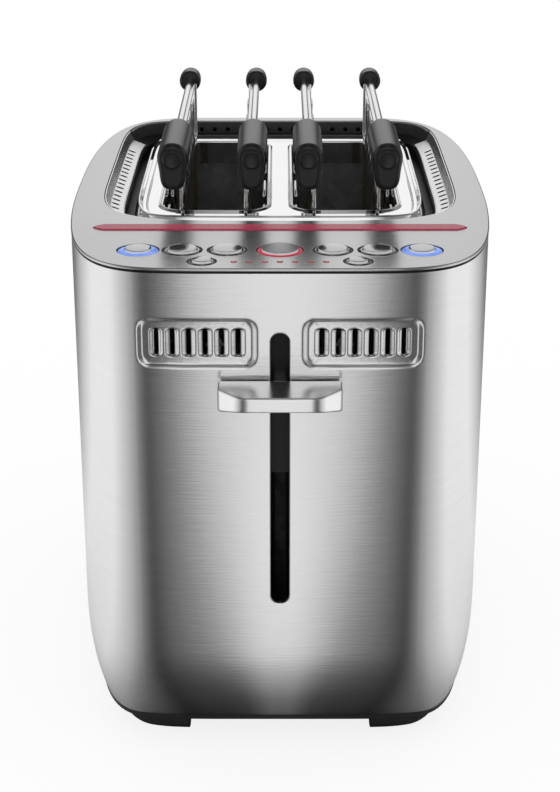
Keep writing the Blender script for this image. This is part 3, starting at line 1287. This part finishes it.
slot_loop = rounded_rectangle(
    -LEVER_SLOT_HALF, LEVER_Z0, LEVER_SLOT_HALF, LEVER_Z1, LEVER_SLOT_HALF - 0.01, 12, 30
)
TRIM_BACK, TRIM_EDGE, TRIM_FACE = FRONT_Y + 2.3, FRONT_Y - 0.02, FRONT_Y - 0.12
trim_profile = [(-0.5, TRIM_BACK), (-0.5, TRIM_EDGE), (-0.35, TRIM_FACE), (-0.1, TRIM_FACE),
                (0.0, TRIM_EDGE), (0.0, TRIM_BACK)]
piece("slot_trim", [stood_up(sweep(slot_loop, trim_profile, close_profile=True))], steel_lever, "root",
      ["lever_slot_trim"], crisp=40)

# %% [markdown]
# ## Base and feet
# A black pan closes the bottom and shows as a thin line under the steel. Each rubber foot follows the
# housing's corner and flares outwards as it rises, by the same power law as the tuck.

# %% Make the base and the feet
PAN_LOW, PAN_EDGE, PAN_TOP = 12.4, 14.7, 17.4
FOOT_INNER_X, FOOT_INNER_Y, FOOT_TOP = 41.8, 84.0, 12.1
FOOT_INSET, FOOT_FLARE, FOOT_SHARE = 13.7, 14, 0.45
pan_profile = [(-12.6, PAN_LOW), (-12.3, PAN_LOW + 0.3), (-12.3, PAN_EDGE - 0.2), (-12.5, PAN_EDGE),
               (-14.0, PAN_EDGE), (-14.0, PAN_TOP)]
pan_plan = spared(plan)
pan_parts = [sweep(pan_plan, pan_profile)]
pan_parts += [cap([grown(pan_plan, reach)], z) for reach, z in (pan_profile[0], pan_profile[-1])]
piece("base_plate", pan_parts, base_plastic, "root", ["base_pan"])


def foot_parts(side_x, side_y, levels=12, steps=26):
    """Level loops: the housing's corner drawn in by 13.7 + 14 (1 - share)^2.5 mm, where share is the
    share of the foot's height, closed at an inner corner."""
    foot_plan = spared(housing(200, 0), FOOT_SHARE)
    quarter = slice(0, len(foot_plan[0]) // 4 + 1)
    rows = []
    for share in np.concatenate([[0], np.linspace(0.04, 1, levels)]):
        loop = grown(foot_plan, -FOOT_INSET - FOOT_FLARE * (1 - share) ** TUCK_POWER)[quarter]
        run = lengths(loop)
        start, stop = np.interp(FOOT_INNER_X, loop[:, 0], run), np.interp(-FOOT_INNER_Y, loop[:, 1], run)
        at = np.linspace(start, stop, steps)
        edge = np.stack([np.interp(at, run, loop[:, 0]), np.interp(at, run, loop[:, 1])], 1)
        row = np.concatenate([edge, [(FOOT_INNER_X, -FOOT_INNER_Y)]])
        rows.append(np.concatenate([row * (side_x, -side_y), np.full((len(row), 1), FOOT_TOP * share)], 1))
    rows = np.array(rows) + (0, MID_Y, 0)
    ends = [cap([rows[index][:, :2]], rows[index][0, 2]) for index in (0, -1)]
    return [sheet(rows, False, True), *ends]


for front_name, side_y in (("front", -1), ("rear", 1)):
    for side_name, side_x in (("left", -1), ("right", 1)):
        node = f"foot_{front_name}_{side_name}"
        piece(f"rubber_{node}", foot_parts(side_x, side_y), foot_rubber, "root", [node])

# %% [markdown]
# ## Sandwich cages
# Each cage is two frames of bright wire that share a pin at the bottom of the slot. One wire makes a
# whole frame: down a stepped leg that stands on the slot's lip, to and fro in eight uprights, and up
# a second leg. Its top ends hold a thick rod and a thin rail. Knuckles on short bars ride on the pin.

# %% Make the wire frames
ROD_Z, ROD_OFFSET, ROD_DIAMETER, GRID_OFFSET, WIRE = 257.7, 17.6, 3.7, 14.6, 1.8
ROD_Y0, ROD_Y1, RAIL_Y0, RAIL_Y1 = -46.35, 126.45, -32.75, 113.65
PIN_Z, UPRIGHT_TOP, SHOULDER_Z = 170.9, 256.3, 230.1
UPRIGHT_Y = np.linspace(-22.15, 103.05, 8)
ROD_END, RAIL_OFFSET, GRID_BEND = 0.4, 2.3, 2.4
KNUCKLE_RADIUS, KNUCKLE_SINK = 2.9, 0.55


def frame_parts(centre, side, share):
    """One frame on one side of a cage: rod, rail, bent wire, and four knuckles that stand at a share
    of the way between two uprights, so the two frames' knuckles pass each other on the pin."""
    rod_x, grid_x = centre + side * ROD_OFFSET, centre + side * GRID_OFFSET
    radius, end = ROD_DIAMETER / 2, ROD_END
    profile = [(0, ROD_Y0), (radius - end, ROD_Y0), (radius, ROD_Y0 + end), (radius, ROD_Y1 - end),
               (radius - end, ROD_Y1), (0, ROD_Y1)]
    rod = turned(profile, (rod_x, 0, ROD_Z), axis="Y", steps=16)
    rail_x = rod_x - side * RAIL_OFFSET
    rail = wire([(rail_x, RAIL_Y0, ROD_Z), (rail_x, RAIL_Y1, ROD_Z)], WIRE)
    path = [(RAIL_Y0, ROD_Z), (RAIL_Y0, SHOULDER_Z), (UPRIGHT_Y[0], SHOULDER_Z), (UPRIGHT_Y[0], PIN_Z)]
    for index, y in enumerate(UPRIGHT_Y[1:-1]):
        path += [(y, PIN_Z), (y, UPRIGHT_TOP)][:: -1 if index % 2 else 1]
    path += [(UPRIGHT_Y[-1], PIN_Z), (UPRIGHT_Y[-1], SHOULDER_Z), (RAIL_Y1, SHOULDER_Z), (RAIL_Y1, ROD_Z)]
    bars = bent([(grid_x, y, z) for y, z in path], GRID_BEND, 6)
    parts = [rod, *rail, *wire(bars, WIRE, sides=12)]
    inner = centre + side * (KNUCKLE_RADIUS - KNUCKLE_SINK)
    ring = [(1.8, -1.7), (2.7, -1.7), (KNUCKLE_RADIUS, -1.5), (KNUCKLE_RADIUS, 1.5), (2.7, 1.7), (1.8, 1.7),
            (1.8, -1.7)]
    for index in (0, 2, 4, 6):
        y = UPRIGHT_Y[index] + (UPRIGHT_Y[index + 1] - UPRIGHT_Y[index]) * share
        parts += wire([(grid_x, y, PIN_Z), (inner, y, PIN_Z)], WIRE, side=(0, 1, 0), end_round=False)
        parts.append(turned(ring, (centre, y, PIN_Z), axis="Y", steps=20))
    return parts


# %% Make the grips and the knobs
GRIP_Y0, GRIP_Y1, GRIP_HALF, GRIP_LOW, GRIP_TAIL = ROD_Y0 - 0.6, ROD_Y0 + 53.2, 6.8, 243.1, 249.1
FRONT_FILLET, BACK_FILLET = 2.4, 3.4
KNOB_Y0 = ROD_Y1 - 5.0


def grip_section():
    """Half widths and heights, as shares, of a round bar with a rounded tongue below it."""
    upper = np.radians(np.linspace(0, 180, 25))
    bar_x, bar_z = np.cos(upper), np.sin(upper)
    down = np.array([0.0, 0.10, 0.25, 0.42, 0.60, 0.72, 0.80, 0.87, 0.93, 0.97, 0.99, 1.0])
    width = np.array([1.0, 0.985, 0.93, 0.875, 0.84, 0.80, 0.75, 0.68, 0.57, 0.43, 0.30, 0.0])
    left = np.stack([-width, -down], 1)[1:]
    right = (left * (-1, 1))[::-1][1:]
    return np.concatenate([np.stack([bar_x, bar_z], 1), left, right])


def handle_parts(x):
    """The section carried along Y; its edges draw in at both ends, and the tongue rises to the tail.
    A disc with a small raised ring stands on the front end."""
    y0, y1, half = GRIP_Y0, GRIP_Y1, GRIP_HALF
    front = y0 + FRONT_FILLET * (1 - np.cos(np.radians(np.linspace(0, 90, 8))))
    back = y1 - BACK_FILLET * (1 - np.sin(np.radians(np.linspace(0, 90, 9))))
    y = np.concatenate([front, np.linspace(y0 + FRONT_FILLET, y1 - BACK_FILLET, 26)[1:-1], back])
    rounding = lambda depth, r: r - np.sqrt(np.clip(r**2 - (r - np.clip(depth, 0, r)) ** 2, 0, None))
    draw = rounding(y - y0, FRONT_FILLET) + rounding(y1 - y, BACK_FILLET)
    middle = (y0 + y1) / 2
    bottom = GRIP_LOW + (GRIP_TAIL - GRIP_LOW) * soft_step((y - middle) / (y1 - middle))
    section = grip_section()
    width = (half - draw)[:, None] * section[:, 0]
    reach = np.where(section[:, 1] > 0, (half - draw)[:, None], (ROD_Z - bottom - draw)[:, None])
    rows = np.stack([x + width, np.broadcast_to(y[:, None], width.shape), ROD_Z + reach * section[:, 1]], -1)
    disc = [(0, -1.5), (2.8, -1.5), (3.3, -1.75), (3.5, -1.8), (3.7, -1.75), (4.3, -1.5), (4.5, -1.2),
            (4.5, 3.0), (0, 3.0)]
    disc = turned([(r, y0 + along) for r, along in disc], (x, 0, ROD_Z), axis="Y", steps=36)
    return [*tube(rows), disc]


def knob_parts(x):
    """A round knob: rounded edges, and a groove turned into it behind its middle."""
    profile = [(0, 0), (4.2, 0), (4.9, 0.25), (5.35, 0.75), (5.6, 1.5), (5.6, 7.4), (5.35, 7.85),
               (4.5, 7.95), (4.5, 8.9), (5.1, 9.0), (5.3, 9.4), (5.3, 11.8), (5.05, 12.7), (4.5, 13.35),
               (3.8, 13.6), (0, 13.6)]
    return turned([(r, KNOB_Y0 + along) for r, along in profile], (x, 0, ROD_Z), axis="Y", steps=32)


for cage, slot_side in (("cage_left", -1), ("cage_right", 1)):
    centre = slot_side * CAGE_X
    for which, side, share in (("inner", -slot_side, 0.35), ("outer", slot_side, 0.65)):
        body = cage if which == "inner" else f"{cage}_jaw"
        x = centre + side * ROD_OFFSET
        piece(f"{cage}_wires_{which}", frame_parts(centre, side, share), wire_chrome, body,
              [f"{cage}_frame_{which}"], crisp=50)
        piece(f"{cage}_grip_{which}", handle_parts(x), grip_plastic, body, [f"{cage}_handle_{which}"],
              crisp=38)
        piece(f"{cage}_end_knob_{which}", [knob_parts(x)], grip_plastic, body, [f"{cage}_knob_{which}"],
              crisp=38)

# %% Make the guard wires inside the slots
GUARD_Y = np.linspace(-15.75, 96.65, 6)
GUARD_Y0, GUARD_Y1, GUARD_LOW, GUARD_BEND, GUARD_TOP = -35.45, 116.35, 66.0, 204.0, 222.0
GUARD_OFFSET, GUARD_LEAN, GUARD_ROUND = 21.2, 1.4, 2.6
for slot_name, slot_side in (("left", -1), ("right", 1)):
    for face_name, face_side in (("outer", slot_side), ("inner", -slot_side)):
        x = slot_side * CAGE_X + face_side * GUARD_OFFSET
        top_x = x + face_side * GUARD_LEAN
        path = [(x, GUARD_Y0, GUARD_LOW)]
        for index, y in enumerate(GUARD_Y):
            path += [(x, y, GUARD_LOW), (x, y, GUARD_BEND), (top_x, y, GUARD_TOP)][:: -1 if index % 2 else 1]
        path.append((x, GUARD_Y1, GUARD_LOW))
        node = f"guard_{slot_name}_{face_name}"
        piece(f"{node}_wire", wire(bent(path, GUARD_ROUND, 4), WIRE, sides=8), wire_chrome, "root", [node],
              crisp=60)
